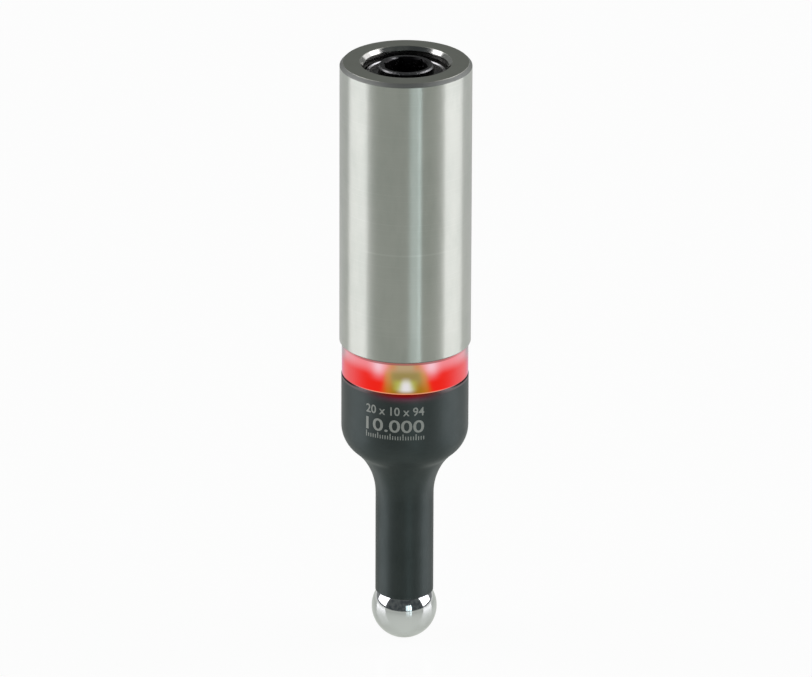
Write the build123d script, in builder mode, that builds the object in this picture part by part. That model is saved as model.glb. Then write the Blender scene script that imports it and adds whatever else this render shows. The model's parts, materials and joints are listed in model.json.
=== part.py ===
from build123d import *
import os
from math import acos, cos, degrees, radians, sin, tan

# Optical edge finder, in millimetres. The axis is Z, the ball is at the bottom and the shank at the top.
# The origin is the lowest point of the ball, and -Y is the side that faces the user.

# Shank
SHANK_D = 20.0
SHANK_L = 45.0
SHANK_TOP_CHAMFER = 0.6
SHANK_FOOT_CHAMFER = 0.3

# Light ring, a clear spool whose two spigots join the shank and the housing
RING_L = 5.2
RING_CHAMFER = 0.2
SPIGOT_WALL = 1.85
SPIGOT_L = 6.0
SPIGOT_CHAMFER = 0.4
RING_LEDGE_RISE = 0.65
RING_LEDGE_W = 1.2

# Housing
BODY_D = 19.4
BODY_L = 36.0
BODY_CHAMFER = 0.15
BARREL_L = 8.5
SHOULDER_R = 5.0
NECK_R = 10.0
STEM_D = 8.9
STEM_WALL = 1.1
STEM_END_CHAMFER = 0.1
LIP_WALL = 0.2

# Ball and its seat
BALL_D = 10.0
SEAT_HALF_ANGLE = 40.0
SEAT_CLEARANCE = 0.05
BALL_TRAVEL = 2.0

# Ball stud, a threaded rod
STUD_D = 2.0
STUD_IN_BALL = 3.5
STUD_IN_PLUG = 3.5

# Ball spring and the pieces that it grips
BALL_SPRING_WIRE = 0.6
BALL_SPRING_L = 10.8
BALL_SPRING_TURNS = 4
SPRING_PLUG_RISE = 1.3
SPRING_PLUG_L = 3.8
SPRING_NOSE_L = 2.6
SPRING_NOSE_CHAMFER = 0.25
ANCHOR_DISC_T = 1.2
ANCHOR_RECESS_D = 4.6
ANCHOR_RECESS_DEPTH = 0.4

# Thread in the top of the shank, drawn at its minor diameter, and the plug in it
THREAD_DEPTH = 0.54
THREAD_L = 6.25
RELIEF_DEPTH = 0.64
RELIEF_L = 0.6
PLUG_SINK = 1.65
PLUG_L = 6.0
PLUG_RIM_CHAMFER = 0.35
PLUG_BOSS_D = 8.4
PLUG_BOSS_SINK = 0.42
PLUG_BOSS_CHAMFER = 0.2
HEX_AF = 6.0
HEX_DEPTH = 4.6
HEX_CORNER_ANGLE = 46.0
HEX_POINT_DEPTH = 0.9
HEX_MOUTH_CHAMFER = 0.25
SPRING_BOSS_H = 1.5

# Rubber seals
PLUG_SEAL_D = 1.0
PLUG_SEAL_RISE = 0.5
PLUG_SEAL_GROOVE_W = 1.2
SEAL_W = 0.9
SEAL_T = 0.9

# Round cell and its sleeve
BATTERY_D = 10.3
BATTERY_L = 28.5
BATTERY_NUB_D = 5.2
BATTERY_NUB_L = 1.0
BATTERY_EDGE = 0.4
BATTERY_DISH_D = 7.6
BATTERY_DISH_DEPTH = 0.25
SLEEVE_WALL = 1.11
PLUG_SPRING_WIRE = 0.7
PLUG_SPRING_COIL_D = 6.6
PLUG_SPRING_TURNS = 3

# Circuit board and what it carries
BOARD_OVERHANG = 0.35
BOARD_T = 0.8
BOARD_NOTCH_D = 1.2
LED_COUNT = 8
LED_INSET = 0.9
LED_W = 2.0
LED_DEPTH = 1.25
LED_BASE_H = 0.3
LED_LENS_W = 1.4
LED_LENS_H = 0.5
RESISTOR_COUNT = 2
RESISTOR_INSET = 2.2
RESISTOR_L = 1.6
RESISTOR_W = 0.8
RESISTOR_H = 0.45
CONTACT_FOOT_D = 4.4
CONTACT_FOOT_T = 0.3
CONTACT_D = 3.0
CONTACT_H = 2.0
LEAF_T = 0.3
LEAF_W = 2.2
LEAF_L = 3.4
LEAF_BEND_R = 1.0

# Clearances: on the radius unless named otherwise
RING_STEP = 0.05
SLIP_FIT = 0.05
LOOSE_FIT = 0.10
SPRING_GRIP_GAP = 0.05
SPRING_END_GAP = 0.05
SEAL_GAP = 0.02
SPIGOT_END_GAP = 0.5
SLEEVE_END_GAP = 0.2
SPRING_SIDE_GAP = 0.15

# Sides of a spring's wire
WIRE_SIDES = 6

# Heights of the outside, from the ball upwards
ball_r = BALL_D / 2
stem_r = STEM_D / 2
body_r = BODY_D / 2
ring_r = body_r - RING_STEP
seat_angle = radians(SEAT_HALF_ANGLE)
seat_reach = (ball_r + SEAT_CLEARANCE) / cos(seat_angle)
lip_r = stem_r - LIP_WALL
bore_r = stem_r - STEM_WALL
ball_z = ball_r
stem_z = ball_z + (seat_reach - lip_r) / tan(seat_angle)
seat_top_z = ball_z + (seat_reach - bore_r) / tan(seat_angle)
body_z = stem_z + BODY_L
ring_z = body_z + RING_L
shank_z = ring_z + SHANK_L

# The cell sets the board, the ring's spigots and the bore of the shank
battery_r = BATTERY_D / 2
board_r = battery_r + BOARD_OVERHANG
board_bore_r = board_r + LOOSE_FIT
ledge_r = board_bore_r - RING_LEDGE_W
spigot_r = board_bore_r + SPIGOT_WALL
sleeve_r = battery_r + LOOSE_FIT + SLEEVE_WALL
thread_r = sleeve_r + LOOSE_FIT

# Joint between shank, ring and housing
socket_r = spigot_r + SLIP_FIT
seal_r = spigot_r + SEAL_GAP + SEAL_W
seal_recess_r = seal_r + SEAL_GAP
seal_recess_depth = SEAL_T + SEAL_GAP
shank_socket_z = ring_z + SPIGOT_L + SPIGOT_END_GAP
anchor_top_z = body_z - SPIGOT_L
anchor_seat_z = anchor_top_z - ANCHOR_DISC_T

# Board, lamps and cell, from the ledge in the ring upwards
board_low_z = body_z + RING_LEDGE_RISE
board_z = board_low_z + BOARD_T
led_circle_r = board_r - LED_INSET
resistor_circle_r = board_r - RESISTOR_INSET
battery_low_z = board_z + CONTACT_H
can_low_z = battery_low_z + BATTERY_NUB_L
battery_top_z = battery_low_z + BATTERY_L
leaf_low_z = anchor_top_z - ANCHOR_RECESS_DEPTH

# Plug and the bore above the cell
relief_r = thread_r + RELIEF_DEPTH
relief_top_z = shank_z - THREAD_L
plug_r = thread_r - SLIP_FIT
plug_rim_z = shank_z - PLUG_SINK
plug_low_z = plug_rim_z - PLUG_L
plug_boss_z = shank_z - PLUG_BOSS_SINK
plug_groove_r = thread_r - PLUG_SEAL_D - 2 * SEAL_GAP
plug_groove_z = plug_low_z + PLUG_SEAL_RISE
spring_boss_r = (PLUG_SPRING_COIL_D - PLUG_SPRING_WIRE) / 2 - SPRING_GRIP_GAP
hex_corner_r = HEX_AF / 2 / cos(radians(30))
sleeve_low_z = ring_z + SPIGOT_L
sleeve_top_z = plug_low_z - SLEEVE_END_GAP

# Ball spring: its coil passes the stem's bore also when the ball is pushed fully aside
ball_shift = BALL_TRAVEL * sin(seat_angle)
ball_spring_r = bore_r - ball_shift - SPRING_SIDE_GAP
ball_coil_r = ball_spring_r - BALL_SPRING_WIRE / 2
spring_nose_r = ball_spring_r - BALL_SPRING_WIRE - SPRING_GRIP_GAP
spring_plug_z = ball_z + ball_r + SPRING_PLUG_RISE
ball_spring_low_z = spring_plug_z + SPRING_PLUG_L
ball_spring_top_z = ball_spring_low_z + BALL_SPRING_L
stud_r = STUD_D / 2
stud_hole_r = stud_r + SLIP_FIT
stud_low_z = ball_z + ball_r - STUD_IN_BALL
stud_top_z = spring_plug_z + STUD_IN_PLUG

os.makedirs("parts", exist_ok=True)

# Shank: ground tube with a tapped mouth, a thread relief and a socket for the ring's upper spigot
with BuildPart() as shank:
    with BuildSketch(Plane.XY.offset(ring_z)):
        Circle(SHANK_D / 2)
    extrude(amount=SHANK_L)
    chamfer(shank.edges().sort_by(Axis.Z)[-1], SHANK_TOP_CHAMFER)
    chamfer(shank.edges().sort_by(Axis.Z)[0], SHANK_FOOT_CHAMFER)
    with BuildSketch(Plane.XZ):
        with BuildLine():
            Polyline(
                (0, shank_z),
                (thread_r + THREAD_DEPTH, shank_z),
                (thread_r, shank_z - THREAD_DEPTH),
                (thread_r, relief_top_z),
                (relief_r, relief_top_z),
                (relief_r, relief_top_z - RELIEF_L),
                (thread_r, relief_top_z - RELIEF_L),
                (thread_r, shank_socket_z),
                (socket_r, shank_socket_z),
                (socket_r, ring_z + seal_recess_depth),
                (seal_recess_r, ring_z + seal_recess_depth),
                (seal_recess_r, ring_z),
                (0, ring_z),
                close=True,
            )
        make_face()
    revolve(axis=Axis.Z, mode=Mode.SUBTRACT)
shank.part.label = "shank"
export_step(shank.part, "parts/shank.step")

# Light ring: visible flange between two spigots, bored for the board and the end of the cell
with BuildPart() as light_ring:
    with BuildSketch(Plane.XY.offset(body_z)):
        Circle(ring_r)
    extrude(amount=RING_L)
    chamfer(light_ring.edges(), RING_CHAMFER)
    with BuildSketch(Plane.XY.offset(body_z - SPIGOT_L)):
        Circle(spigot_r)
    extrude(amount=SPIGOT_L + RING_L + SPIGOT_L)
    spigot_ends = light_ring.edges().filter_by(GeomType.CIRCLE).sort_by(Axis.Z)
    chamfer([spigot_ends[0], spigot_ends[-1]], SPIGOT_CHAMFER)
    with BuildSketch(Plane.XY.offset(board_low_z)):
        Circle(board_bore_r)
    extrude(until=Until.LAST, mode=Mode.SUBTRACT)
    with BuildSketch(Plane.XY.offset(board_low_z)):
        Circle(ledge_r)
    extrude(amount=-(RING_LEDGE_RISE + SPIGOT_L), mode=Mode.SUBTRACT)
light_ring.part.label = "light_ring"
export_step(light_ring.part, "parts/light_ring.step")

# Housing: a straight barrel, a round shoulder that runs into a hollow neck, and a slim stem
neck_angle = degrees(acos(1 - (body_r - stem_r) / (SHOULDER_R + NECK_R)))
with BuildPart() as lower_housing:
    with BuildSketch(Plane.XZ):
        with BuildLine():
            barrel = Line((body_r, body_z), (body_r, body_z - BARREL_L))
            shoulder = JernArc(barrel @ 1, barrel % 1, SHOULDER_R, -neck_angle)
            neck = JernArc(shoulder @ 1, shoulder % 1, NECK_R, neck_angle)
            Polyline(neck @ 1, (stem_r, stem_z), (0, stem_z), (0, body_z), barrel @ 0)
        make_face()
    revolve(axis=Axis.Z)
    rim_edges = lower_housing.edges().filter_by(GeomType.CIRCLE).sort_by(Axis.Z)
    chamfer(rim_edges[-1], BODY_CHAMFER)
    chamfer(rim_edges[0], STEM_END_CHAMFER)
    with BuildSketch(Plane.XZ):
        with BuildLine():
            Polyline(
                (0, stem_z),
                (lip_r, stem_z),
                (bore_r, seat_top_z),
                (bore_r, anchor_seat_z),
                (socket_r, anchor_seat_z),
                (socket_r, body_z - seal_recess_depth),
                (seal_recess_r, body_z - seal_recess_depth),
                (seal_recess_r, body_z),
                (0, body_z),
                close=True,
            )
        make_face()
    revolve(axis=Axis.Z, mode=Mode.SUBTRACT)
lower_housing.part.label = "lower_housing"
export_step(lower_housing.part, "parts/lower_housing.step")

# Seals at the two faces of the ring: flat rubber rings round the roots of the spigots
for name, low_z in {"upper_seal": ring_z, "lower_seal": body_z - SEAL_T}.items():
    with BuildPart() as seal:
        with BuildSketch(Plane.XY.offset(low_z)):
            Circle(seal_r)
            Circle(seal_r - SEAL_W, mode=Mode.SUBTRACT)
        extrude(amount=SEAL_T)
    seal.part.label = name
    export_step(seal.part, f"parts/{name}.step")

# Ball: hardened sphere with a tapped hole for its stud
with BuildPart(Plane.XY.offset(ball_z)) as ball:
    Sphere(ball_r)
    with BuildSketch(Plane.XY.offset(stud_low_z)):
        Circle(stud_hole_r)
    extrude(amount=STUD_IN_BALL, mode=Mode.SUBTRACT)
ball.part.label = "ball"
export_step(ball.part, "parts/ball.step")

# Stud from the ball into the spring plug
with BuildPart() as ball_stud:
    with BuildSketch(Plane.XY.offset(stud_low_z)):
        Circle(stud_r)
    extrude(amount=stud_top_z - stud_low_z)
ball_stud.part.label = "ball_stud"
export_step(ball_stud.part, "parts/ball_stud.step")

# Spring plug: collar and nose that the lower coils grip, tapped for the stud
with BuildPart() as spring_plug:
    with BuildSketch(Plane.XY.offset(spring_plug_z)):
        Circle(ball_spring_r)
    extrude(amount=SPRING_PLUG_L)
    with BuildSketch(Plane.XY.offset(ball_spring_low_z)):
        Circle(spring_nose_r)
    extrude(amount=SPRING_NOSE_L)
    chamfer(spring_plug.edges().sort_by(Axis.Z)[-1], SPRING_NOSE_CHAMFER)
    with BuildSketch(Plane.XY.offset(spring_plug_z)):
        Circle(stud_hole_r)
    extrude(amount=STUD_IN_PLUG, mode=Mode.SUBTRACT)
spring_plug.part.label = "spring_plug"
export_step(spring_plug.part, "parts/spring_plug.step")

# Anchor: disc clamped under the ring's lower spigot, with a stem down to the upper coils
with BuildPart() as spring_anchor:
    with BuildSketch(Plane.XZ):
        with BuildLine():
            Polyline(
                (0, anchor_top_z - ANCHOR_RECESS_DEPTH),
                (ANCHOR_RECESS_D / 2, anchor_top_z - ANCHOR_RECESS_DEPTH),
                (ANCHOR_RECESS_D / 2, anchor_top_z),
                (spigot_r, anchor_top_z),
                (spigot_r, anchor_seat_z),
                (ball_spring_r, anchor_seat_z),
                (ball_spring_r, ball_spring_top_z),
                (spring_nose_r, ball_spring_top_z),
                (spring_nose_r, ball_spring_top_z - SPRING_NOSE_L),
                (0, ball_spring_top_z - SPRING_NOSE_L),
                close=True,
            )
        make_face()
    revolve(axis=Axis.Z)
    chamfer(spring_anchor.edges().filter_by(GeomType.CIRCLE).sort_by(Axis.Z)[0], SPRING_NOSE_CHAMFER)
spring_anchor.part.label = "spring_anchor"
export_step(spring_anchor.part, "parts/spring_anchor.step")

# Circuit board: round, with a notch that keys it in the ring
with BuildPart() as circuit_board:
    with BuildSketch(Plane.XY.offset(board_low_z)):
        Circle(board_r)
        with Locations((0, board_r)):
            Circle(BOARD_NOTCH_D / 2, mode=Mode.SUBTRACT)
    extrude(amount=BOARD_T)
circuit_board.part.label = "circuit_board"
export_step(circuit_board.part, "parts/circuit_board.step")

# Lamps: a white base and a clear lens, evenly round the board, the first one at the front
for number in range(LED_COUNT):
    turn = radians(-90 + number * 360 / LED_COUNT)
    outward = (cos(turn), sin(turn), 0)
    seat = Plane((led_circle_r * cos(turn), led_circle_r * sin(turn), board_z), x_dir=outward)
    with BuildPart() as led:
        with BuildSketch(seat):
            Rectangle(LED_DEPTH, LED_W)
        extrude(amount=LED_BASE_H)
        with BuildSketch(seat.offset(LED_BASE_H)):
            Rectangle(LED_DEPTH, LED_LENS_W)
        extrude(amount=LED_LENS_H)
    led.part.label = f"led_{number + 1}"
    export_step(led.part, f"parts/led_{number + 1}.step")

# Lamp resistors on the underside of the board
for number in range(RESISTOR_COUNT):
    turn = radians(number * 360 / RESISTOR_COUNT)
    outward = (cos(turn), sin(turn), 0)
    seat = Plane((resistor_circle_r * cos(turn), resistor_circle_r * sin(turn), board_low_z), x_dir=outward)
    with BuildPart() as resistor:
        with BuildSketch(seat):
            Rectangle(RESISTOR_W, RESISTOR_L)
        extrude(amount=-RESISTOR_H)
    resistor.part.label = f"resistor_{number + 1}"
    export_step(resistor.part, f"parts/resistor_{number + 1}.step")

# Contact button: the positive end of the cell stands on it
with BuildPart() as battery_contact:
    with BuildSketch(Plane.XY.offset(board_z)):
        Circle(CONTACT_FOOT_D / 2)
    extrude(amount=CONTACT_FOOT_T)
    with BuildSketch(Plane.XY.offset(board_z)):
        Circle(CONTACT_D / 2)
    extrude(amount=CONTACT_H)
battery_contact.part.label = "battery_contact"
export_step(battery_contact.part, "parts/battery_contact.step")

# Contact leaf: strip bent to a C that joins the underside of the board to the anchor
leaf_half = (LEAF_L - LEAF_T) / 2
with BuildPart() as contact_leaf:
    with BuildLine(Plane.XZ) as leaf_line:
        FilletPolyline(
            (leaf_half, leaf_low_z + LEAF_T / 2),
            (-leaf_half, leaf_low_z + LEAF_T / 2),
            (-leaf_half, board_low_z - LEAF_T / 2),
            (leaf_half, board_low_z - LEAF_T / 2),
            radius=LEAF_BEND_R,
        )
    with BuildSketch(Plane(leaf_line.wire() @ 0, x_dir=(0, 1, 0), z_dir=leaf_line.wire() % 0)):
        Rectangle(LEAF_W, LEAF_T)
    sweep(path=leaf_line.wire())
contact_leaf.part.label = "contact_leaf"
export_step(contact_leaf.part, "parts/contact_leaf.step")

# Cell: sealed can with its positive nub down and a shallow dish on top
with BuildPart() as battery:
    with BuildSketch(Plane.XY.offset(can_low_z)):
        Circle(battery_r)
    extrude(amount=BATTERY_L - BATTERY_NUB_L)
    chamfer(battery.edges().filter_by(GeomType.CIRCLE), BATTERY_EDGE)
    with BuildSketch(Plane.XY.offset(battery_low_z)):
        Circle(BATTERY_NUB_D / 2)
    extrude(amount=BATTERY_NUB_L)
    with BuildSketch(Plane.XY.offset(battery_top_z)):
        Circle(BATTERY_DISH_D / 2)
    extrude(amount=-BATTERY_DISH_DEPTH, mode=Mode.SUBTRACT)
battery.part.label = "battery"
export_step(battery.part, "parts/battery.step")

# Sleeve: insulating tube that stands on the ring's upper spigot
with BuildPart() as battery_sleeve:
    with BuildSketch(Plane.XY.offset(sleeve_low_z)):
        Circle(sleeve_r)
        Circle(sleeve_r - SLEEVE_WALL, mode=Mode.SUBTRACT)
    extrude(amount=sleeve_top_z - sleeve_low_z)
battery_sleeve.part.label = "battery_sleeve"
export_step(battery_sleeve.part, "parts/battery_sleeve.step")

# Battery plug: threaded rim, raised boss with a hexagon socket, seal groove and a boss for its spring
with BuildPart() as battery_plug:
    with BuildSketch(Plane.XZ):
        with BuildLine():
            Polyline(
                (0, plug_low_z - SPRING_BOSS_H),
                (spring_boss_r, plug_low_z - SPRING_BOSS_H),
                (spring_boss_r, plug_low_z),
                (plug_r, plug_low_z),
                (plug_r, plug_groove_z),
                (plug_groove_r, plug_groove_z),
                (plug_groove_r, plug_groove_z + PLUG_SEAL_GROOVE_W),
                (plug_r, plug_groove_z + PLUG_SEAL_GROOVE_W),
                (plug_r, plug_rim_z - PLUG_RIM_CHAMFER),
                (plug_r - PLUG_RIM_CHAMFER, plug_rim_z),
                (PLUG_BOSS_D / 2, plug_rim_z),
                (PLUG_BOSS_D / 2, plug_boss_z - PLUG_BOSS_CHAMFER),
                (PLUG_BOSS_D / 2 - PLUG_BOSS_CHAMFER, plug_boss_z),
                (0, plug_boss_z),
                close=True,
            )
        make_face()
    revolve(axis=Axis.Z)
    with BuildSketch(Plane.XY.offset(plug_boss_z)):
        RegularPolygon(hex_corner_r, 6, rotation=HEX_CORNER_ANGLE)
    extrude(amount=-HEX_DEPTH, mode=Mode.SUBTRACT)
    with BuildSketch(Plane.XZ):
        with BuildLine():
            Polyline(
                (0, plug_boss_z),
                (hex_corner_r, plug_boss_z),
                (hex_corner_r - HEX_MOUTH_CHAMFER, plug_boss_z - HEX_MOUTH_CHAMFER),
                (HEX_AF / 2, plug_boss_z - HEX_DEPTH),
                (0, plug_boss_z - HEX_DEPTH - HEX_POINT_DEPTH),
                close=True,
            )
        make_face()
    revolve(axis=Axis.Z, mode=Mode.SUBTRACT)
battery_plug.part.label = "battery_plug"
export_step(battery_plug.part, "parts/battery_plug.step")

# Seal in the plug's groove: an O-ring, pressed flat where it meets the groove and the bore
with BuildPart() as plug_oring:
    with BuildSketch(Plane.XZ):
        with Locations((thread_r - SEAL_GAP - PLUG_SEAL_D / 2, plug_groove_z + PLUG_SEAL_GROOVE_W / 2)):
            RegularPolygon(PLUG_SEAL_D / 2, 6, major_radius=False, rotation=30)
    revolve(axis=Axis.Z)
plug_oring.part.label = "plug_oring"
export_step(plug_oring.part, "parts/plug_oring.step")

# Springs: name, radius of the coil's centre line, wire, turns, lower seat and upper seat.
# The wire is drawn with few sides, which keeps the coils light.
springs = [
    ("plug_spring", PLUG_SPRING_COIL_D / 2, PLUG_SPRING_WIRE, PLUG_SPRING_TURNS, battery_top_z, plug_low_z),
    ("ball_spring", ball_coil_r, BALL_SPRING_WIRE, BALL_SPRING_TURNS, ball_spring_low_z, ball_spring_top_z),
]
for name, coil_r, wire, turns, low_z, high_z in springs:
    low = low_z + wire / 2 + SPRING_END_GAP
    height = high_z - wire / 2 - SPRING_END_GAP - low
    with BuildPart() as spring:
        with BuildLine(Plane.XY.offset(low)) as coil:
            Helix(pitch=height / turns, height=height, radius=coil_r)
        with BuildSketch(Plane(coil.line @ 0, z_dir=coil.line % 0)):
            RegularPolygon(wire / 2, WIRE_SIDES)
        sweep(path=coil.line, is_frenet=True)
    spring.part.label = name
    export_step(spring.part, f"parts/{name}.step")
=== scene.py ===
"""Optical edge finder: finishes, thread, springs, mark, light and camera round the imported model."""

import json
from math import atan2, cos, pi, radians, sin

import bmesh
import bpy
from mathutils import Matrix, Vector


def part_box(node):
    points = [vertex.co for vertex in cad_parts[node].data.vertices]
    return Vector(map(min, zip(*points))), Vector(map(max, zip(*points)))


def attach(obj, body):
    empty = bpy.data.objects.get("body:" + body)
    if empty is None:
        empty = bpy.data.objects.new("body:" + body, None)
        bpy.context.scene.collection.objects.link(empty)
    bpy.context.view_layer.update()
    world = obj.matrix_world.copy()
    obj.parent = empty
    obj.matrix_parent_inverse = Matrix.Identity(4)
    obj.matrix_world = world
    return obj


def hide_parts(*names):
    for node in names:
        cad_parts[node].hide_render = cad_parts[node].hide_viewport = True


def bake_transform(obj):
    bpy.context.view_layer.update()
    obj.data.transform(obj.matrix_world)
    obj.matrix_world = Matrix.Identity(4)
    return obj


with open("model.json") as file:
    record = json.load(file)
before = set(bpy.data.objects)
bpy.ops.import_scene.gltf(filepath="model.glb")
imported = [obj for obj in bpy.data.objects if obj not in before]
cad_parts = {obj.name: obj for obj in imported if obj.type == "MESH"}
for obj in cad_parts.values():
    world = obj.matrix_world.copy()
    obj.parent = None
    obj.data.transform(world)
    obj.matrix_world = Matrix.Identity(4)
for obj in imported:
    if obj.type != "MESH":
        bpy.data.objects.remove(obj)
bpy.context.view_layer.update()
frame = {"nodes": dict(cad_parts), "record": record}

MM = 0.001
TURN = 2 * pi

# Points of a new piece that lie this close, in metres, become one. A long thread's seams need more room
MERGE = 1e-8
MERGE_SEAM = 1e-6
# Two faces that meet at more degrees than this keep a crisp edge
CRISP = 30

# Shank, in mm. Heights are measured from the ball's lowest point
shank_low, shank_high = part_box("shank")
SHANK_FOOT = shank_low.z / MM
SHANK_TOP = shank_high.z / MM
SHANK_R = 10.0
TOP_CHAMFER = 0.5
FOOT_CHAMFER = 0.2
# The rounded corner under the top chamfer: how far its points lie inwards and upwards from the sharp corner
TOP_CORNER = ((0.0, -0.20), (0.0, -0.07), (0.016, -0.012), (0.054, 0.046), (0.15, 0.15))
# The end face's outermost ring, turned with the outside, and the depth within which a face counts as ground
END_FACE_RING = 0.4
GROUND_DEPTH = 0.01
# Where the end face changes its look: outside the mouth's chamfer, outside the thread, at the outer chamfer
MOUTH_FACE_R = 7.3
INSIDE_R = 9.0
OUTER_FACE_R = 9.3
SCRATCH_Z = SHANK_FOOT + 17.5
SOCKET_R = 7.5
SOCKET_L = 6.5
SEAL_RECESS_R = 8.39
SEAL_RECESS_L = 0.92

# Thread between shank and battery plug, in mm
THREAD_MINOR_R = 6.46
THREAD_MAJOR_R = 7.0
THREAD_PITCH = 1.0
THREAD_L = 6.25
RELIEF_R = 7.1
RELIEF_L = 0.6
# How much deeper the groove gets with each mm below the mouth's chamfer
MOUTH_RUNOUT = 1.5
PLUG_R = 6.41
PLUG_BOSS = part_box("battery_plug")[1].z / MM
PLUG_BOSS_L = 1.23
PLUG_RIM = PLUG_BOSS - PLUG_BOSS_L
# Radius of the boss's top, and where the worn part of the ledge round the boss begins
BOSS_TOP_R = 4.0
LEDGE_WORN_R = 5.45
# The plug's own thread: its crest's radius, how deep its root lies in the plug, half of its crest and root
PLUG_THREAD_R = 6.85
PLUG_THREAD_SUNK = 0.11
PLUG_THREAD_CREST = 0.12
PLUG_THREAD_ROOT = 0.44
# Where it starts, in pitches above the relief, and its turns
PLUG_THREAD_START = 1.5
PLUG_THREAD_TURNS = 2.0
# The part of a turn over which it grows from each end, and the share of its depth that each end has
PLUG_THREAD_GROWS = 0.16
PLUG_THREAD_END = 0.15

# Housing, ring, lamps and ball, in mm
BODY_R = 9.7
NECK_TOP = 30.8
NECK_LOW = 21.0
RING_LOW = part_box("lower_housing")[1].z / MM
RING_HIGH = SHANK_FOOT
LAMP_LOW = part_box("led_1")[0].z / MM
LAMP_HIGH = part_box("led_1")[1].z / MM
BALL_R = 5.0
STUD_HOLE_R = 1.05
STUD_HOLE_L = 3.5

# Springs, in mm: radius to the middle of the wire, and the wire's thickness
BALL_COIL_R = 1.614
BALL_COIL_WIRE = 0.6
PLUG_COIL_R = 3.3
PLUG_COIL_WIRE = 0.7
# Rise of a closed turn, in wires
CLOSED_PITCH = 1.03

# Mark on the housing: arc lengths from the front and heights, in mm
MARK_LEFT = -6.28
MARK_RIGHT = 2.98
MARK_RAISED = 0.012
MARK_SUNK = 0.02
MARK_STRIP = 0.3
SIZES_Z = 40.35
SIZES_HEIGHT = 1.40
RANGE_Z = 37.60
RANGE_HEIGHT = 2.05
TICK_COUNT = 24
TICK_Z = 36.42
TICK_HALF_W = 0.075
TICK_INSET = 0.07
LONG_TICK = 0.95
SHORT_TICK = 0.6


class Value:
    """One output of a node. Arithmetic on it adds Math nodes."""

    def __init__(self, nodes, socket):
        self.nodes = nodes
        self.socket = socket

    def math(self, operation, *others):
        return self.nodes.math(operation, self, *others)

    def __add__(self, other):
        return self.math("ADD", other)

    def __radd__(self, other):
        return self.math("ADD", other)

    def __sub__(self, other):
        return self.math("SUBTRACT", other)

    def __rsub__(self, other):
        return self.nodes.math("SUBTRACT", other, self)

    def __mul__(self, other):
        return self.math("MULTIPLY", other)

    def __rmul__(self, other):
        return self.math("MULTIPLY", other)

    def __truediv__(self, other):
        return self.math("DIVIDE", other)

    def __pow__(self, other):
        return self.math("POWER", other)

    def __neg__(self):
        return self.math("MULTIPLY", -1.0)

    def __abs__(self):
        return self.math("ABSOLUTE")


class Nodes:
    """The node tree of one finish, of the floor or of the world."""

    def __init__(self, tree):
        self.tree = tree
        tree.nodes.clear()

    def node(self, kind, settings=None, inputs=None, output=0):
        """Adds a node, its settings first and then its inputs, and gives one of its outputs."""
        made = self.tree.nodes.new(kind)
        for key, value in (settings or {}).items():
            setattr(made, key, value)
        for key, value in (inputs or {}).items():
            if isinstance(value, Value):
                self.tree.links.new(value.socket, made.inputs[key])
            else:
                made.inputs[key].default_value = value
        return Value(self, made.outputs[output]) if made.outputs else None

    def math(self, operation, *terms):
        return self.node("ShaderNodeMath", {"operation": operation}, dict(enumerate(terms)))

    def ramp(self, value, low, high, to_low=0.0, to_high=1.0):
        """Runs smoothly from one number to another while the value passes from low to high."""
        inputs = {0: value, 1: low, 2: high, 3: to_low, 4: to_high}
        return self.node("ShaderNodeMapRange", {"interpolation_type": "SMOOTHSTEP"}, inputs)

    def fall(self, distance, power):
        """1 at no distance and near 0 at 2. A high power keeps the top flat and the sides steep."""
        return self.math("EXPONENT", -(distance**power))

    def bell(self, value, centre, width):
        """1 at the centre, and near 0 two widths away."""
        return self.fall((value - centre) / width, 2.0)

    def mix(self, factor, first, second):
        """Mixes two colours: the first at a factor of 0, the second at 1."""
        return self.node("ShaderNodeMix", {"data_type": "RGBA"}, {0: factor, 6: first, 7: second}, 2)

    def place(self):
        """Where a point lies on the finished piece, in metres from the ball's lowest point."""
        return self.node("ShaderNodeTexCoord", output="Object")

    def light_path(self, kind):
        """1 for rays of one kind, such as Is Camera Ray, and 0 for the others."""
        return self.node("ShaderNodeLightPath", output=kind)

    def axes(self, vector):
        """The vector's three numbers."""
        return [self.node("ShaderNodeSeparateXYZ", inputs={0: vector}, output=axis) for axis in range(3)]

    def stretched(self, vector, x, y, z):
        """The vector with each axis scaled by its own count per metre."""
        return self.node("ShaderNodeVectorMath", {"operation": "MULTIPLY"}, {0: vector, 1: (x, y, z)})

    def noise(self, vector, scale, detail=2.0, roughness=0.5):
        inputs = {"Vector": vector, "Scale": scale, "Detail": detail, "Roughness": roughness}
        return self.node("ShaderNodeTexNoise", inputs=inputs)

    def bump(self, height, distance, strength=1.0):
        inputs = {"Height": height, "Distance": distance, "Strength": strength}
        return self.node("ShaderNodeBump", inputs=inputs)

    def surface(self, **sockets):
        """The finish itself. An underscore in a name stands for a space."""
        inputs = {name.replace("_", " "): value for name, value in sockets.items()}
        self.show(self.node("ShaderNodeBsdfPrincipled", inputs=inputs))

    def show(self, shader):
        self.node("ShaderNodeOutputMaterial", inputs={"Surface": shader})


def finish(name, paint):
    """A material whose nodes the paint function lays out."""
    material = bpy.data.materials.new(name)
    material.use_nodes = True
    paint(Nodes(material.node_tree))
    return material


def coat(thing, material):
    """Gives a piece one finish all over."""
    thing.data.materials.clear()
    thing.data.materials.append(material)


def rgb(red, green, blue):
    return (red, green, blue, 1.0)


def polar(n, place):
    """Radius from the tool's axis in mm, angle from the front in degrees to the right, and height in mm."""
    x, y, z = n.axes(place)
    radius = (x * x + y * y) ** 0.5 / MM
    return radius, n.math("ARCTAN2", x, -y) / radians(1), z / MM


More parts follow.
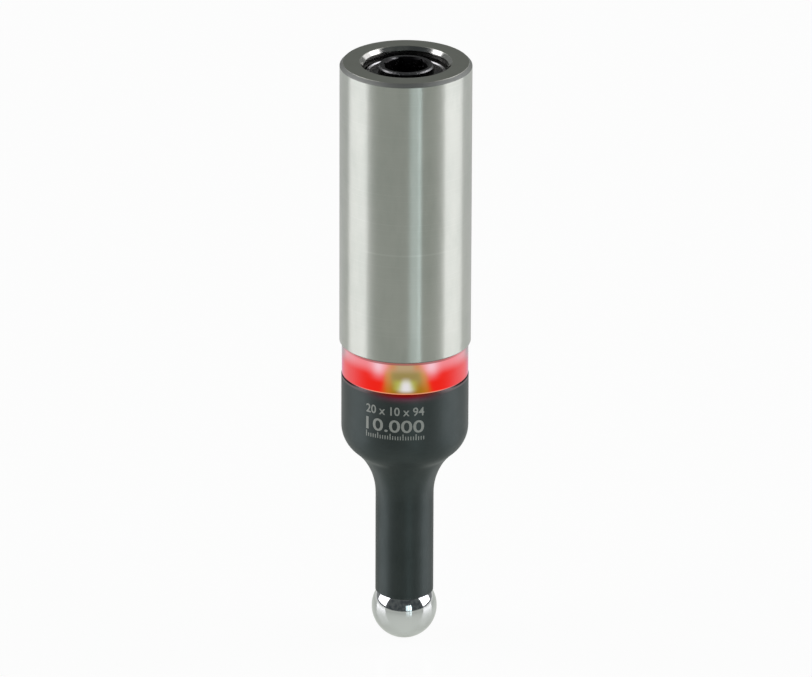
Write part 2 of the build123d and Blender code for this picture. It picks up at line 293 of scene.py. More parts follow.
def paint_ground_steel(n):
    """Round grinding: fine lines spread each reflection up and down the shank. It is stained by handling."""
    place = n.place()
    # Lines and bands run round the shank, clouds and stains along it
    lines = n.noise(n.stretched(place, 8, 8, 3200), 1.0, 2.0, 0.7)
    bands = n.noise(n.stretched(place, 60, 60, 500), 1.0, 2.0)
    cloud = n.noise(n.stretched(place, 150, 150, 60), 1.0, 3.0)
    stain = n.noise(n.stretched(place, 260, 260, 90), 1.0, 5.0, 0.65)
    color = n.mix(n.ramp(cloud, 0.3, 0.7), rgb(0.542, 0.560, 0.518), rgb(0.572, 0.588, 0.544))
    color = n.mix(n.ramp(stain, 0.40, 0.66) * 0.8, color, rgb(0.505, 0.53, 0.487))
    color = n.mix(n.ramp(lines, 0.50, 0.75) * 0.35, color, rgb(0.64, 0.655, 0.62))
    # A fine scratch across the shank's front
    _, angle, z = polar(n, place)
    scratch = n.bell(z, SCRATCH_Z, 0.13) * n.ramp(abs(angle), 32, 42, 1.0, 0.0)
    color = n.mix(scratch * 0.5, color, rgb(0.66, 0.68, 0.64))
    n.surface(
        Base_Color=color,
        Metallic=1.0,
        Roughness=0.315 + bands * 0.03,
        Anisotropic=1.0,
        Anisotropic_Rotation=0.25,
    )


def paint_turned_steel(n):
    """Turned faces and threads: dull on the end face, bright on the mouth's chamfer, darkened far down the
    thread as painted shade.
    """
    place = n.place()
    radius, _, z = polar(n, place)
    grain = n.noise(place, 4200, 2.0)
    cloud = n.noise(place, 500, 3.0)
    # The mouth's chamfer, the depth of the thread, painted darker there as shade, and the outer chamfer
    down = SHANK_TOP - z
    below = n.ramp(down, 0.02, 0.06)
    mouth = below * n.ramp(radius, MOUTH_FACE_R, MOUTH_FACE_R + 0.2, 1.0, 0.0)
    painted_bore_shade = n.ramp(down, 0.60, 0.75) * n.ramp(radius, INSIDE_R, INSIDE_R + 0.1, 1.0, 0.0)
    rim = below * n.ramp(radius, OUTER_FACE_R, OUTER_FACE_R + 0.15)
    color = n.mix(cloud, rgb(0.355, 0.37, 0.31), rgb(0.41, 0.425, 0.37))
    color = n.mix(mouth, color, rgb(0.48, 0.485, 0.45))
    color = n.mix(rim, color, rgb(0.24, 0.25, 0.232))
    n.surface(
        Base_Color=n.mix(painted_bore_shade * 0.75, color, rgb(0.10, 0.10, 0.095)),
        Metallic=1.0,
        Roughness=0.34 + cloud * 0.06 - mouth * 0.22 + painted_bore_shade * 0.12 + rim * 0.28,
        Normal=n.bump(grain, 0.000006, 0.3),
    )


def paint_dark_steel(n):
    """Black-finished steel: fine specks, a painted highlight line at the neck, and a painted reflection of
    the ring's red light at the front.
    """
    place = n.place()
    _, angle, z = polar(n, place)
    grain = n.noise(place, 5200, 2.0)
    lines = n.noise(n.stretched(place, 150, 150, 7000), 1.0, 2.0)
    cloud = n.noise(place, 180, 3.0)
    cells = {"Vector": place, "Scale": 420.0}
    speck = n.node("ShaderNodeTexVoronoi", inputs=cells, output="Distance")
    lot = n.axes(n.node("ShaderNodeTexVoronoi", inputs=cells, output="Color"))[0]
    specks = n.ramp(speck, 0.05, 0.10, 1.0, 0.0) * n.ramp(lot, 0.86, 0.88)
    body = n.mix(n.ramp(cloud, 0.3, 0.7), rgb(0.056, 0.069, 0.068), rgb(0.068, 0.082, 0.081))
    body = n.mix(specks * 0.5, body, rgb(0.22, 0.23, 0.23))
    # A painted highlight line at the top of the neck, and the neck painted paler at its sides as a painted
    # sheen
    side = n.math("PINGPONG", angle, 90.0)
    painted_sheen_and_wear = n.bell(z, NECK_TOP, 0.42) * n.ramp(side, 14, 38) * 0.72
    neck = n.ramp(z, NECK_LOW, NECK_LOW + 8) * n.ramp(z, NECK_TOP - 0.8, NECK_TOP, 1.0, 0.0)
    body = n.mix(painted_sheen_and_wear + neck * n.ramp(side, 34, 52) * 0.3, body, rgb(0.170, 0.183, 0.178))
    # Painted reflection of the ring's red light on the wall just below it, over a base painted near black; a
    # painted pale highlight near the wall's top at the sides; and a painted dark line of shade along the top
    # edge beside that light
    depth = RING_LOW - z
    spread = n.bell(side, 0.0, 26.0)
    edge = n.ramp(depth, 0.25, 0.95, 1.0, 0.0) * spread
    spill = n.ramp(depth, 0.0, 2.0, 1.0, 0.0) ** 2.0 * spread
    glow = n.mix(n.ramp(depth, 0.15, 0.7), rgb(0.20, 0.004, 0.002), rgb(0.15, 0.008, 0.045))
    corner = n.ramp(depth, 0.28, 0.55, 1.0, 0.0) * n.ramp(side, 28, 46)
    painted_edge_shade = n.ramp(depth, 0.05, 0.20, 1.0, 0.0) * n.ramp(side, 42, 58)
    light = n.mix(spill, rgb(0, 0, 0), glow)
    light = n.mix(corner * 0.6, light, rgb(0.13, 0.075, 0.085))
    light = n.mix(painted_edge_shade, light, rgb(0, 0, 0))
    n.surface(
        Base_Color=n.mix(edge + painted_edge_shade, body, rgb(0.002, 0.0, 0.0)),
        Metallic=0.9,
        Roughness=0.47 + grain * 0.06,
        Anisotropic=0.75,
        Anisotropic_Rotation=0.25,
        Emission_Color=light,
        Emission_Strength=1.0,
        Normal=n.bump(grain + lines * 0.5, 0.000004, 0.3),
    )


def paint_lit_ring(n):
    """Clear ring lit from inside, its glow painted: red all round, with a pale green lamp at the front and
    one at the back.
    """
    place = n.place()
    # Angles run in degrees from the front or the back to the sides, heights from 0 to 1 up the ring
    x, y, z = n.axes(place)
    waver = (n.noise(place, 380, 2.0) - 0.5) * 4.0
    height = (z / MM - RING_LOW) / (RING_HIGH - RING_LOW)
    angle = n.math("ARCTAN2", x, abs(y)) / radians(1)
    side = abs(angle) + waver
    # Red light, with a painted pale sheen towards the sides and towards the top, and a painted glare beside
    # the lamp
    strong = n.mix(n.ramp(side, 34, 70) * 0.62, rgb(0.83, 0.008, 0.001), rgb(0.80, 0.15, 0.17))
    strong = n.mix(n.ramp(side, 68, 84), strong, rgb(0.62, 0.02, 0.16))
    field = n.ramp(height, 0.50, 0.88) * n.ramp(side, 45, 75, 0.27, 0.48)
    glare = n.ramp(height, 0.30, 0.80) * n.bell(side, 24.5, 7.0) * 0.38
    pale = n.mix(n.ramp(side, 45, 72), rgb(0.96, 0.84, 0.95), rgb(0.66, 0.66, 0.74))
    red = n.mix(field + glare, strong, pale)
    # The lamp's own patch of light, olive with a yellow-green halo low in it
    olive = n.mix(n.ramp(height, 0.15, 0.50), rgb(0.33, 0.150, 0.0), rgb(0.30, 0.235, 0.075))
    olive = n.mix(n.ramp(height, 0.60, 0.85), olive, rgb(0.46, 0.33, 0.18))
    olive = n.mix(n.ramp(side, 5, 12) * n.ramp(height, 0.62, 0.9) * 0.7, olive, rgb(0.63, 0.21, 0.08))
    halo = n.fall(angle / 10.6, 4.0) * n.ramp(height, 0.06, 0.20) * n.ramp(height, 0.34, 0.54, 1.0, 0.0)
    olive = n.mix(halo, olive, rgb(0.43, 0.45, 0.085))
    # The patch leans and narrows towards the top, with an amber border and a pale drop of light at its foot
    within = abs(angle - (1.0 - height) * 2.4) + waver
    color = n.mix(n.ramp(within, 12.8 - height * 2.5, 27.5 - height * 10.5), olive, red)
    amber = n.bell(within, 18.0 - height * 3.0, 4.2) * n.ramp(height, 0.60, 0.85, 0.5, 0.15)
    color = n.mix(amber, color, n.mix(height, rgb(0.46, 0.17, 0.0), rgb(0.72, 0.46, 0.15)))
    drop = n.fall(abs((angle - 1.0) / (7.0 - height * 6.4)), 2.8)
    drop = drop * n.ramp(height, 0.0, 0.18) * n.ramp(height, 0.28, 0.60, 1.0, 0.0)
    color = n.mix(drop, color, rgb(0.74, 0.72, 0.73))
    # A painted highlight along the lower edge, painted shade along the upper edge below the shank, and
    # painted shade at the sides where the ring turns away
    low_line = n.ramp(height, 0.012, 0.06, 1.0, 0.0) * n.ramp(side, 20, 60, 1.0, 0.5)
    low_color = n.mix(n.ramp(side, 15, 55), rgb(1.0, 0.42, 0.22), rgb(1.0, 0.50, 0.52))
    color = n.mix(low_line, color, low_color)
    top_line = n.ramp(height, 0.915, 0.935) * n.ramp(side, 28, 60, 0.85, 0.25)
    color = n.mix(top_line, color, rgb(0.34, 0.10, 0.10))
    turned_away = n.ramp(side, 64, 82) * n.ramp(height, 0.35, 0.95)
    color = n.mix(turned_away, color, rgb(0.18, 0.19, 0.19))
    sockets = {"Base Color": rgb(0.02, 0.005, 0.005), "Specular IOR Level": 0.0}
    sockets.update({"Emission Color": color, "Emission Strength": 1.0})
    body = n.node("ShaderNodeBsdfPrincipled", inputs=sockets)
    gloss = n.node("ShaderNodeBsdfGlossy", inputs={"Color": rgb(1, 1, 1), "Roughness": 0.22})
    share = n.node("ShaderNodeFresnel", inputs={"IOR": 1.22})
    n.show(n.node("ShaderNodeMixShader", inputs={0: share, 1: body, 2: gloss}))


def paint_polished_ball(n):
    """Mirror-polished steel with faint scuffs from use."""
    scuffs = n.noise(n.place(), 900, 4.0, 0.6)
    n.surface(
        Base_Color=rgb(0.65, 0.666, 0.665),
        Metallic=1.0,
        Roughness=0.06 + scuffs * 0.04,
        Normal=n.bump(scuffs, 0.000002, 0.1),
    )


def paint_black_oxide(n):
    """Blackened screw plug, rubbed bright along its rims and scratched by the key beside its socket."""
    place = n.place()
    radius, angle, z = polar(n, place)
    lines = n.noise(n.stretched(place, 300, 300, 9000), 1.0, 2.0)
    cloud = n.noise(place, 900, 3.0)
    glints = n.ramp(n.noise(place, 2600, 3.0, 0.7), 0.58, 0.68)
    # Bright rims of the ledge and of the boss, and two scratches beside the socket
    ledge = n.ramp(abs(z - PLUG_RIM), 0.01, 0.05, 1.0, 0.0)
    rim = ledge * n.ramp(radius, LEDGE_WORN_R, LEDGE_WORN_R + 0.3)
    top = n.ramp(z, PLUG_BOSS - 0.25, PLUG_BOSS - 0.18)
    edge = top * n.ramp(radius, BOSS_TOP_R - 0.08, BOSS_TOP_R - 0.01)
    long_scratch = n.bell(radius, 3.72, 0.09) * n.bell(angle, -146.0, 11.0)
    short_scratch = n.bell(radius, 3.35, 0.1) * n.bell(angle, -152.0, 9.0)
    painted_sheen_and_wear = rim * 0.85 + edge * (0.42 + glints * 0.5) + glints * 0.12 * (1.0 - top)
    painted_sheen_and_wear = painted_sheen_and_wear + (long_scratch + short_scratch) * top
    color = n.mix(cloud, rgb(0.020, 0.020, 0.021), rgb(0.045, 0.044, 0.044))
    color = n.mix(top * 0.7, color, rgb(0.004, 0.004, 0.004))
    lip = n.ramp(radius, LEDGE_WORN_R, LEDGE_WORN_R + 0.9) * ledge
    n.surface(
        Base_Color=n.mix(painted_sheen_and_wear, color, rgb(0.38, 0.385, 0.38)),
        Metallic=1.0,
        Roughness=0.22 + cloud * 0.12,
        Normal=n.bump(lip * 170.0 + lines + cloud + glints * 3.0, 0.000006, 1.0),
    )


def paint_turned(color, pale, roughness):
    """Turned or drawn metal with fine lines round its axis."""

    def paint(n):
        place = n.place()
        lines = n.noise(n.stretched(place, 400, 400, 8000), 1.0, 3.0)
        cloud = n.noise(place, 700, 2.0)
        n.surface(
            Base_Color=n.mix(cloud, color, pale),
            Metallic=1.0,
            Roughness=roughness + lines * 0.12,
            Normal=n.bump(lines, 0.000004, 0.4),
        )

    return paint


def paint_moulded(color, pale, roughness, scale):
    """Plastic, rubber or lacquer with a fine grain."""

    def paint(n):
        grain = n.noise(n.place(), scale, 3.0)
        n.surface(
            Base_Color=n.mix(grain, color, pale),
            Roughness=roughness + grain * 0.1,
            Normal=n.bump(grain, 0.000006, 0.4),
        )

    return paint


def paint_lamp(color):
    """A lit lamp: white base with its light growing towards the lens."""

    def paint(n):
        _, _, z = n.axes(n.place())
        share = n.ramp(z / MM, LAMP_LOW, LAMP_HIGH)
        n.surface(
            Base_Color=rgb(0.85, 0.84, 0.80),
            Roughness=0.35,
            Emission_Color=n.mix(share, rgb(0.1, 0.1, 0.1), color),
            Emission_Strength=1.0,
        )

    return paint


def paint_laser_mark(n):
    """Grey, grainy figures burnt through the black finish."""
    grain = n.noise(n.place(), 6000, 2.0)
    n.surface(
        Base_Color=n.mix(grain, rgb(0.30, 0.315, 0.295), rgb(0.44, 0.455, 0.43)),
        Metallic=0.6,
        Roughness=0.6,
    )


FINISHES = {
    "ground_steel": paint_ground_steel,
    "dark_steel": paint_dark_steel,
    "clear_ring": paint_lit_ring,
    "polished_ball": paint_polished_ball,
    "black_oxide": paint_black_oxide,
    "stud_steel": paint_turned(rgb(0.40, 0.40, 0.40), rgb(0.50, 0.50, 0.49), 0.28),
    "spring_steel": paint_turned(rgb(0.46, 0.46, 0.47), rgb(0.56, 0.56, 0.55), 0.22),
    "turned_brass": paint_turned(rgb(0.70, 0.48, 0.20), rgb(0.78, 0.57, 0.27), 0.24),
    "contact_brass": paint_turned(rgb(0.78, 0.60, 0.26), rgb(0.84, 0.68, 0.34), 0.18),
    "seal_rubber": paint_moulded(rgb(0.018, 0.018, 0.018), rgb(0.030, 0.030, 0.030), 0.55, 3000),
    "cell_wrap": paint_moulded(rgb(0.11, 0.13, 0.16), rgb(0.14, 0.16, 0.19), 0.28, 500),
    "sleeve_plastic": paint_moulded(rgb(0.72, 0.72, 0.68), rgb(0.78, 0.78, 0.75), 0.5, 900),
    "board_green": paint_moulded(rgb(0.02, 0.15, 0.06), rgb(0.03, 0.20, 0.08), 0.35, 2500),
    "resistor_body": paint_moulded(rgb(0.02, 0.02, 0.02), rgb(0.04, 0.04, 0.04), 0.3, 4000),
}
materials = {slot: finish(slot, paint) for slot, paint in FINISHES.items()}
materials["turned_steel"] = finish("turned_steel", paint_turned_steel)
materials["green_lamp"] = finish("green_lamp", paint_lamp(rgb(0.75, 1.0, 0.55)))
materials["red_lamp"] = finish("red_lamp", paint_lamp(rgb(1.0, 0.08, 0.05)))
materials["laser_mark"] = finish("laser_mark", paint_laser_mark)

for subpart in frame["record"]["subparts"]:
    slot = subpart["material_slot"]
    if slot == "led_body":
        slot = "green_lamp" if subpart["node"] in ("led_1", "led_5") else "red_lamp"
    coat(frame["nodes"][subpart["node"]], materials[slot])


def piece(name, mesh_in_work, slot):
    """Makes the worked mesh a smooth-shaded object, crisp at its sharp edges, with a slot's finish."""
    bmesh.ops.remove_doubles(mesh_in_work, verts=mesh_in_work.verts, dist=MERGE)
    bmesh.ops.recalc_face_normals(mesh_in_work, faces=mesh_in_work.faces)
    for face in mesh_in_work.faces:
        face.smooth = True
    for edge in mesh_in_work.edges:
        edge.smooth = edge.calc_face_angle(0.0) < radians(CRISP)
    mesh = bpy.data.meshes.new(name)
    mesh_in_work.to_mesh(mesh)
    mesh_in_work.free()
    made = bpy.data.objects.new(name, mesh)
    bpy.context.scene.collection.objects.link(made)
    mesh.materials.append(materials[slot])
    return made


def chain(bm, corners):
    """Joins corners, each a radius and a height in mm, by edges in the plane of the front axis."""
    verts = [bm.verts.new((r * MM, 0, z * MM)) for r, z in corners]
    edges = [bm.edges.new(pair) for pair in zip(verts, verts[1:])]
    return verts, edges


def revolve(bm, geometry, steps=256):
    """Turns a profile once round the tool's axis."""
    bmesh.ops.spin(
        bm, geom=geometry, cent=(0, 0, 0), axis=(0, 0, 1), angle=TURN, steps=steps, use_merge=True
    )


def open_ends(bm, height):
    """The edges at one height that bound only one face."""
    return [
        edge
        for edge in bm.edges
        if edge.is_boundary and all(abs(vert.co.z / MM - height) < 1e-3 for vert in edge.verts)
    ]


def cut(bm, height, **sides):
    """Cuts the mesh level at a height, and clears the side that is named, if one is."""
    everything = bm.verts[:] + bm.edges[:] + bm.faces[:]
    middle = (0, 0, height * MM)
    bmesh.ops.bisect_plane(bm, geom=everything, plane_co=middle, plane_no=(0, 0, 1), **sides)


def internal_thread(low, high):
    """The shank's thread as an open tube between two heights. It runs out into the mouth's chamfer."""
    depth = THREAD_MAJOR_R - THREAD_MINOR_R
    crest = THREAD_PITCH / 8
    root = THREAD_PITCH / 16
    flank = THREAD_PITCH / 2 - crest - root
    start = low - 2 * THREAD_PITCH
    parts = 4
    corners = [(THREAD_MINOR_R, start), (THREAD_MINOR_R, start + crest)]
    for part in range(1, parts + 1):
        corners.append((THREAD_MINOR_R + depth * part / parts, start + crest + flank * part / parts))
    upper = start + THREAD_PITCH / 2 + root
    for part in range(parts + 1):
        corners.append((THREAD_MAJOR_R - depth * part / parts, upper + flank * part / parts))
    corners.append((THREAD_MINOR_R, start + THREAD_PITCH))
    thread = bmesh.new()
    verts, edges = chain(thread, corners)
    steps = 128
    turns = 10
    bmesh.ops.spin(
        thread,
        geom=verts + edges,
        cent=(0, 0, 0),
        axis=(0, 0, 1),
        dvec=(0, 0, THREAD_PITCH * MM / steps),
        angle=TURN * turns,
        steps=steps * turns,
    )
    bmesh.ops.remove_doubles(thread, verts=thread.verts, dist=MERGE_SEAM)
    cut(thread, high, clear_outer=True)
    cut(thread, low, clear_inner=True)
    cut(thread, high - depth)
    for vert in thread.verts:
        radius = vert.co.xy.length / MM
        down = high - vert.co.z / MM
        groove = THREAD_MINOR_R + max(0.0, down - depth) * MOUTH_RUNOUT
        chamfer = THREAD_MAJOR_R - down
        vert.co.xy *= max(min(radius, groove), chamfer) / radius
    mesh = bpy.data.meshes.new("thread_in_work")
    thread.to_mesh(mesh)
    thread.free()
    return mesh


def make_threaded_shank():
    """Shank with a real internal thread between its mouth and the thread relief."""
    bm = bmesh.new()
    relief_top = SHANK_TOP - THREAD_L
    corner = SHANK_TOP - TOP_CHAMFER
    outside = [
        (RELIEF_R, relief_top),
        (RELIEF_R, relief_top - RELIEF_L),
        (THREAD_MINOR_R, relief_top - RELIEF_L),
        (THREAD_MINOR_R, SHANK_FOOT + SOCKET_L),
        (SOCKET_R, SHANK_FOOT + SOCKET_L),
        (SOCKET_R, SHANK_FOOT + SEAL_RECESS_L),
        (SEAL_RECESS_R, SHANK_FOOT + SEAL_RECESS_L),
        (SEAL_RECESS_R, SHANK_FOOT),
        (SHANK_R - FOOT_CHAMFER, SHANK_FOOT),
        (SHANK_R, SHANK_FOOT + FOOT_CHAMFER),
    ]
    outside += [(SHANK_R - inwards, corner + upwards) for inwards, upwards in TOP_CORNER]
    outside += [
        (SHANK_R - TOP_CHAMFER, SHANK_TOP),
        (SHANK_R - TOP_CHAMFER - END_FACE_RING, SHANK_TOP),
    ]
    verts, edges = chain(bm, outside)
    revolve(bm, verts + edges)
    mesh = internal_thread(relief_top, SHANK_TOP)
    bm.from_mesh(mesh)
    bpy.data.meshes.remove(mesh)
    for height in (SHANK_TOP, relief_top):
        ends = open_ends(bm, height)
        bmesh.ops.triangle_fill(bm, use_beauty=True, use_dissolve=False, edges=ends)
    for face in bm.faces:
        ground = all(vert.co.xy.length / MM > SHANK_R - GROUND_DEPTH for vert in face.verts)
        face.material_index = 0 if ground else 1
    made = piece("threaded_shank", bm, "ground_steel")
    made.data.materials.append(materials["turned_steel"])
    return made


def make_plug_thread():
    """The plug's thread, in mesh with the shank's, with both of its ends run out into the plug."""
    bm = bmesh.new()
    steps = 96
    turns = PLUG_THREAD_TURNS
    root = PLUG_R - PLUG_THREAD_SUNK
    first = SHANK_TOP - THREAD_L + THREAD_PITCH * PLUG_THREAD_START
    profile = [
        (root, first - PLUG_THREAD_ROOT),
        (PLUG_THREAD_R, first - PLUG_THREAD_CREST),
        (PLUG_THREAD_R, first + PLUG_THREAD_CREST),
        (root, first + PLUG_THREAD_ROOT),
    ]
    verts, edges = chain(bm, profile)
    edges.append(bm.edges.new((verts[-1], verts[0])))
    bmesh.ops.spin(
        bm,
        geom=edges,
        cent=(0, 0, 0),
        axis=(0, 0, 1),
        dvec=(0, 0, THREAD_PITCH * MM / steps),
        angle=TURN * turns,
        steps=round(steps * turns),
    )
    bmesh.ops.remove_doubles(bm, verts=bm.verts, dist=MERGE)
    bmesh.ops.holes_fill(bm, edges=bm.edges, sides=4)
    for vert in bm.verts:
        radius = vert.co.xy.length / MM
        past = (vert.co.z / MM - first) / THREAD_PITCH
        part = (atan2(vert.co.y, vert.co.x) / TURN) % 1.0
        along = part + round(past - part)
        from_end = max(0.0, min(along, turns - along))
        rise = min(1.0, PLUG_THREAD_END + from_end / PLUG_THREAD_GROWS)
        vert.co.xy *= (root + (radius - root) * rise) / radius
    return piece("plug_thread", bm, "black_oxide")


def make_ball():
    """Polished ball with the hole for its stud."""
    bm = bmesh.new()
    rim = (BALL_R**2 - STUD_HOLE_R**2) ** 0.5
    verts, _ = chain(bm, [(0, 0)])
    opening = pi - Vector((STUD_HOLE_R, rim)).angle(Vector((0, 1)))
    bmesh.ops.spin(
        bm, geom=verts, cent=(0, 0, BALL_R * MM), axis=(0, -1, 0), angle=opening, steps=80
    )
    bm.verts.ensure_lookup_table()
    last = max(bm.verts, key=lambda vert: vert.co.z)
    last.co = (STUD_HOLE_R * MM, 0, (BALL_R + rim) * MM)
    floor_z = 2 * BALL_R - STUD_HOLE_L
    down = bm.verts.new((STUD_HOLE_R * MM, 0, floor_z * MM))
    middle = bm.verts.new((0, 0, floor_z * MM))
    bm.edges.new((last, down))
    bm.edges.new((down, middle))
    revolve(bm, bm.verts[:] + bm.edges[:], 160)
    return piece("steel_ball", bm, "polished_ball")


def make_coil(name, radius, wire, low, high, closed, open_turns):
    """Round-wire spring between two heights: closed turns at both ends, open turns between."""
    bm = bmesh.new()
    steps = 40
    bottom = low + wire / 2
    height = high - low - wire
    tight = wire * CLOSED_PITCH
    loose = (height - 2 * closed * tight) / open_turns
    matrix = Matrix.Translation((radius * MM, 0, bottom * MM)) @ Matrix.Rotation(pi / 2, 4, "X")
    bmesh.ops.create_circle(bm, cap_ends=False, segments=12, radius=wire / 2 * MM, matrix=matrix)
    last = bm.edges[:]
    for turns, pitch in ((closed, tight), (open_turns, loose), (closed, tight)):
        made = bmesh.ops.spin(
            bm,
            geom=last,
            cent=(0, 0, 0),
            axis=(0, 0, 1),
            dvec=(0, 0, pitch * MM / steps),
            angle=TURN * turns,
            steps=steps * turns,
        )
        last = [item for item in made["geom_last"] if isinstance(item, bmesh.types.BMEdge)]
    bmesh.ops.remove_doubles(bm, verts=bm.verts, dist=MERGE)
    bmesh.ops.holes_fill(bm, edges=bm.edges, sides=12)
    return piece(name, bm, "spring_steel")


def write_row(bm, text, low, height):
    """Sets plain figures across the whole mark, flat in the XZ plane for now."""
    curve = bpy.data.curves.new("row", "FONT")
    curve.body = text
    curve.resolution_u = 4
    curve.offset = 0.011
    holder = bpy.data.objects.new("row", curve)
    bpy.context.scene.collection.objects.link(holder)
    bpy.context.view_layer.update()
    shape = bpy.data.meshes.new_from_object(holder)
    flat = bmesh.new()
    flat.from_mesh(shape)
    bpy.data.objects.remove(holder)
    bpy.data.curves.remove(curve)
    bpy.data.meshes.remove(shape)
    near = [vert.co.x for vert in flat.verts]
    tall = [vert.co.y for vert in flat.verts]
    wide = (MARK_RIGHT - MARK_LEFT) / (max(near) - min(near))
    high = height / (max(tall) - min(tall))
    for vert in flat.verts:
        x = (vert.co.x - min(near)) * wide + MARK_LEFT
        z = (vert.co.y - min(tall)) * high + low
        vert.co = (x * MM, 0, z * MM)
    shape = bpy.data.meshes.new("row_in_work")
    flat.to_mesh(shape)
    flat.free()
    bm.from_mesh(shape)
    bpy.data.meshes.remove(shape)


def make_mark():
    """Sizes and a fine scale marked on the housing by laser: figures bent round the wall, half sunk in it."""
    bm = bmesh.new()
    write_row(bm, "20 x 10 x 94", SIZES_Z, SIZES_HEIGHT)
    write_row(bm, "10.000", RANGE_Z, RANGE_HEIGHT)
    for tick in range(TICK_COUNT):
        along = tick * (MARK_RIGHT - MARK_LEFT - 2 * TICK_INSET) / (TICK_COUNT - 1)
        x = MARK_LEFT + TICK_INSET + along
        tall = LONG_TICK if tick % 5 == 0 else SHORT_TICK
        middle = Matrix.Translation((x * MM, 0, (TICK_Z + tall / 2) * MM))
        size = Matrix.Diagonal((TICK_HALF_W * MM, tall / 2 * MM, 1, 1))
        matrix = middle @ Matrix.Rotation(pi / 2, 4, "X") @ size
        bmesh.ops.create_grid(bm, x_segments=1, y_segments=1, size=1.0, matrix=matrix)
    x = MARK_LEFT
    while x < MARK_RIGHT:
        everything = bm.verts[:] + bm.edges[:] + bm.faces[:]
        bmesh.ops.bisect_plane(bm, geom=everything, plane_co=(x * MM, 0, 0), plane_no=(1, 0, 0))
        x += MARK_STRIP
    made = bmesh.ops.extrude_face_region(bm, geom=bm.faces[:])
    raised = {item for item in made["geom"] if isinstance(item, bmesh.types.BMVert)}
    for vert in bm.verts:
        radius = BODY_R + (MARK_RAISED if vert in raised else -MARK_SUNK)
        turn = vert.co.x / MM / BODY_R
        vert.co = (radius * sin(turn) * MM, -radius * cos(turn) * MM, vert.co.z)
    return piece("size_mark", bm, "dark_steel")


shank = make_threaded_shank()
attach(shank, "root")
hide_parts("shank")

mark = make_mark()
coat(mark, materials["laser_mark"])
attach(mark, "root")

plug_thread = make_plug_thread()
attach(plug_thread, "plug")

ball = make_ball()
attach(ball, "ball_tip")
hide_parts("ball")

coil_low, coil_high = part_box("ball_spring")
ball_coil = make_coil(
    "ball_coil", BALL_COIL_R, BALL_COIL_WIRE, coil_low.z / MM, coil_high.z / MM, closed=3, open_turns=5
)
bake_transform(ball_coil)
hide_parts("ball_spring")

coil_low, coil_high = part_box("plug_spring")
plug_coil = make_coil(
    "plug_coil", PLUG_COIL_R, PLUG_COIL_WIRE, coil_low.z / MM, coil_high.z / MM, closed=1, open_turns=4
)
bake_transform(plug_coil)
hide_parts("plug_spring")


# Table, in metres: half its width, and how far from the tool the painted pool of light that the metal mirrors
# fades
TABLE_HALF = 4.0
POOL_NEAR = 0.13
POOL_FAR = 0.21


def make_floor():
    """Polished white table. The camera sees it white, and metal sees that white, painted as a pool of light
    round the tool, over its own gloss.
    """
    bm = bmesh.new()
    bmesh.ops.create_grid(bm, x_segments=1, y_segments=1, size=TABLE_HALF)
    mesh = bpy.data.meshes.new("floor")
    bm.to_mesh(mesh)
    bm.free()
    floor = bpy.data.objects.new("floor", mesh)
    bpy.context.scene.collection.objects.link(floor)

    def paint(n):
        seen = n.light_path("Is Camera Ray")
        mirrored = n.light_path("Is Glossy Ray")
        through = n.light_path("Is Transmission Ray")
        gloss = {"Base Color": rgb(0.72, 0.77, 0.71), "Roughness": 0.18, "IOR": 1.5}
        table = n.node("ShaderNodeBsdfPrincipled", inputs=gloss)
        x, y, _ = n.axes(n.place())
        behind = n.ramp(y, 0.02, 0.12)
        away = (x * x + y * y) ** 0.5
        # A painted pool of light that only metal mirrors, brighter near the tool and behind it
        pool = n.ramp(away, POOL_NEAR, POOL_FAR, 0.45, 0.23) + behind * 0.35
        # A painted shadow close round the tool
        pool = pool - n.bell(away, 0.040, 0.030) * 0.18
        color = n.mix(mirrored * (1.0 - behind), rgb(1, 1, 1), rgb(0.985, 1.0, 0.92))
        white = n.node("ShaderNodeEmission", inputs={"Color": color, "Strength": 1.0})
        share = (seen + through + mirrored * pool) * 0.95
        n.show(n.node("ShaderNodeMixShader", inputs={0: share, 1: table, 2: white}))

    coat(floor, finish("floor", paint))


def light_world():
    """White for the camera and through glass. Metal sees a dim studio, paler behind the tool."""
    world = bpy.data.worlds.new("studio")
    bpy.context.scene.world = world
    world.use_nodes = True
    n = Nodes(world.node_tree)
    seen = n.light_path("Is Camera Ray")
    mirrored = n.light_path("Is Glossy Ray")
    through = n.light_path("Is Transmission Ray")
    direction = n.node("ShaderNodeTexCoord", output="Generated")
    _, back, up = n.axes(direction)
    backdrop = n.ramp(back, -0.2, 0.6) * n.ramp(up, 0.35, 0.75, 0.19, 0.04)
    share = seen + through + mirrored * backdrop
    shapes = n.noise(direction, 5.0, 3.0)
    room = n.mix(n.ramp(shapes, 0.35, 0.65), rgb(0.055, 0.062, 0.068), rgb(0.115, 0.125, 0.125))
    dim = n.mix(mirrored, rgb(0.22, 0.22, 0.22), room)
    sky = n.node("ShaderNodeBackground", inputs={"Color": n.mix(share, dim, rgb(1, 1, 1))})
    n.node("ShaderNodeOutputWorld", inputs={"Surface": sky})


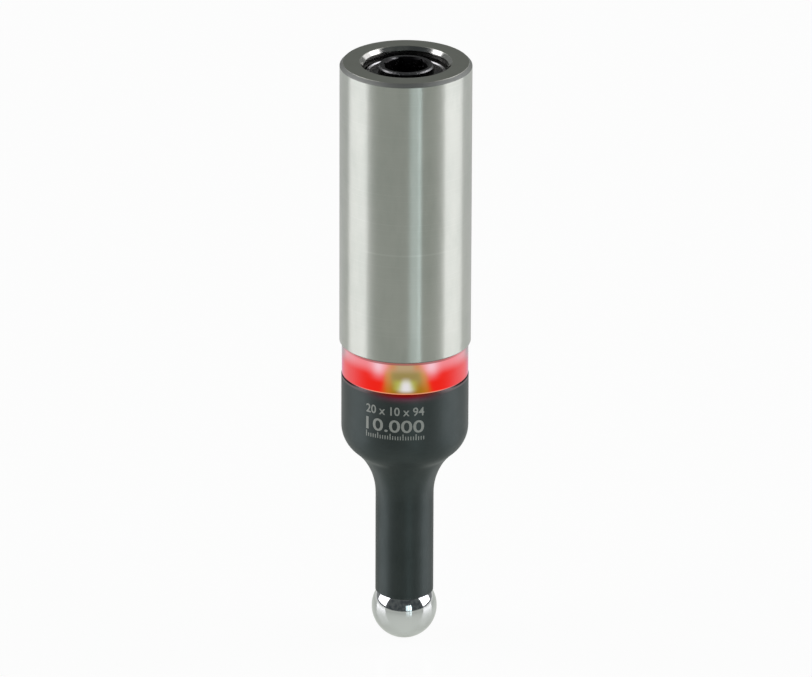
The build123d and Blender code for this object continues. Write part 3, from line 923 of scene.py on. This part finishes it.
# Softboxes: degrees to the right of the camera and up, distance, width and height in metres, radiance, tint
TOOL_MIDDLE = Vector((0, 0, 0.047))
SIDE_TINT = (1.03, 1.0, 1.06)
FRONT_TINT = (0.84, 1.0, 1.06)
LAMPS = {
    "left_softbox": (-90.8, 26.5, 1.5, 1.24, 1.30, 3.2, SIDE_TINT),
    "right_softbox": (91, 26.5, 1.5, 1.18, 1.30, 3.2, SIDE_TINT),
    "right_rear_panel": (126, 28, 1.5, 0.60, 0.55, 1.3, SIDE_TINT),
    "front_lamp": (15, 9.5, 1.6, 0.48, 0.5, 1.3, FRONT_TINT),
    "front_tube_left": (14.6, 9.5, 1.58, 0.08, 0.5, 1.1, FRONT_TINT),
    "front_tube_right": (24, 9.5, 1.58, 0.11, 0.5, 3.6, FRONT_TINT),
}


def add_lamp(name, azimuth, elevation, distance, width, height, radiance, tint):
    """A rectangular softbox that faces the tool's middle. Radiance 1 shows as white in a mirror."""
    lamp = bpy.data.lights.new(name, "AREA")
    lamp.shape = "RECTANGLE"
    lamp.size = width
    lamp.size_y = height
    lamp.energy = radiance * pi * width * height
    lamp.color = tint
    holder = bpy.data.objects.new(name, lamp)
    turn = radians(azimuth)
    rise = radians(elevation)
    back = Vector((sin(turn) * cos(rise), -cos(turn) * cos(rise), sin(rise)))
    holder.location = TOOL_MIDDLE + back * distance
    holder.rotation_euler = back.to_track_quat("Z", "Y").to_euler()
    holder.visible_camera = False
    bpy.context.scene.collection.objects.link(holder)


# Camera, fitted to the photograph: lengths in metres, angles in degrees
CAMERA_RISE = 21.92
CAMERA_ROLL = 0.195
CAMERA_DISTANCE = 1.430
CAMERA_AIM = Vector((0.000137, 0, 0.04916))
LENS_MM = 417.0
SENSOR_MM = 36


def place_camera():
    """The photograph's view: a long lens, 22 degrees above the tool."""
    rise = radians(CAMERA_RISE)
    back = Vector((0, -cos(rise), sin(rise)))
    camera = bpy.data.cameras.new("camera")
    camera.sensor_width = SENSOR_MM
    camera.lens = LENS_MM
    camera.clip_start = 0.05
    camera.clip_end = 50
    holder = bpy.data.objects.new("camera", camera)
    holder.location = CAMERA_AIM + back * CAMERA_DISTANCE
    roll = Matrix.Rotation(radians(CAMERA_ROLL), 3, "Z")
    holder.rotation_euler = (back.to_track_quat("Z", "Y").to_matrix() @ roll).to_euler()
    bpy.context.scene.collection.objects.link(holder)
    bpy.context.scene.camera = holder


make_floor()
light_world()
for name, values in LAMPS.items():
    add_lamp(name, *values)
place_camera()
bpy.context.scene.view_settings.view_transform = "Standard"
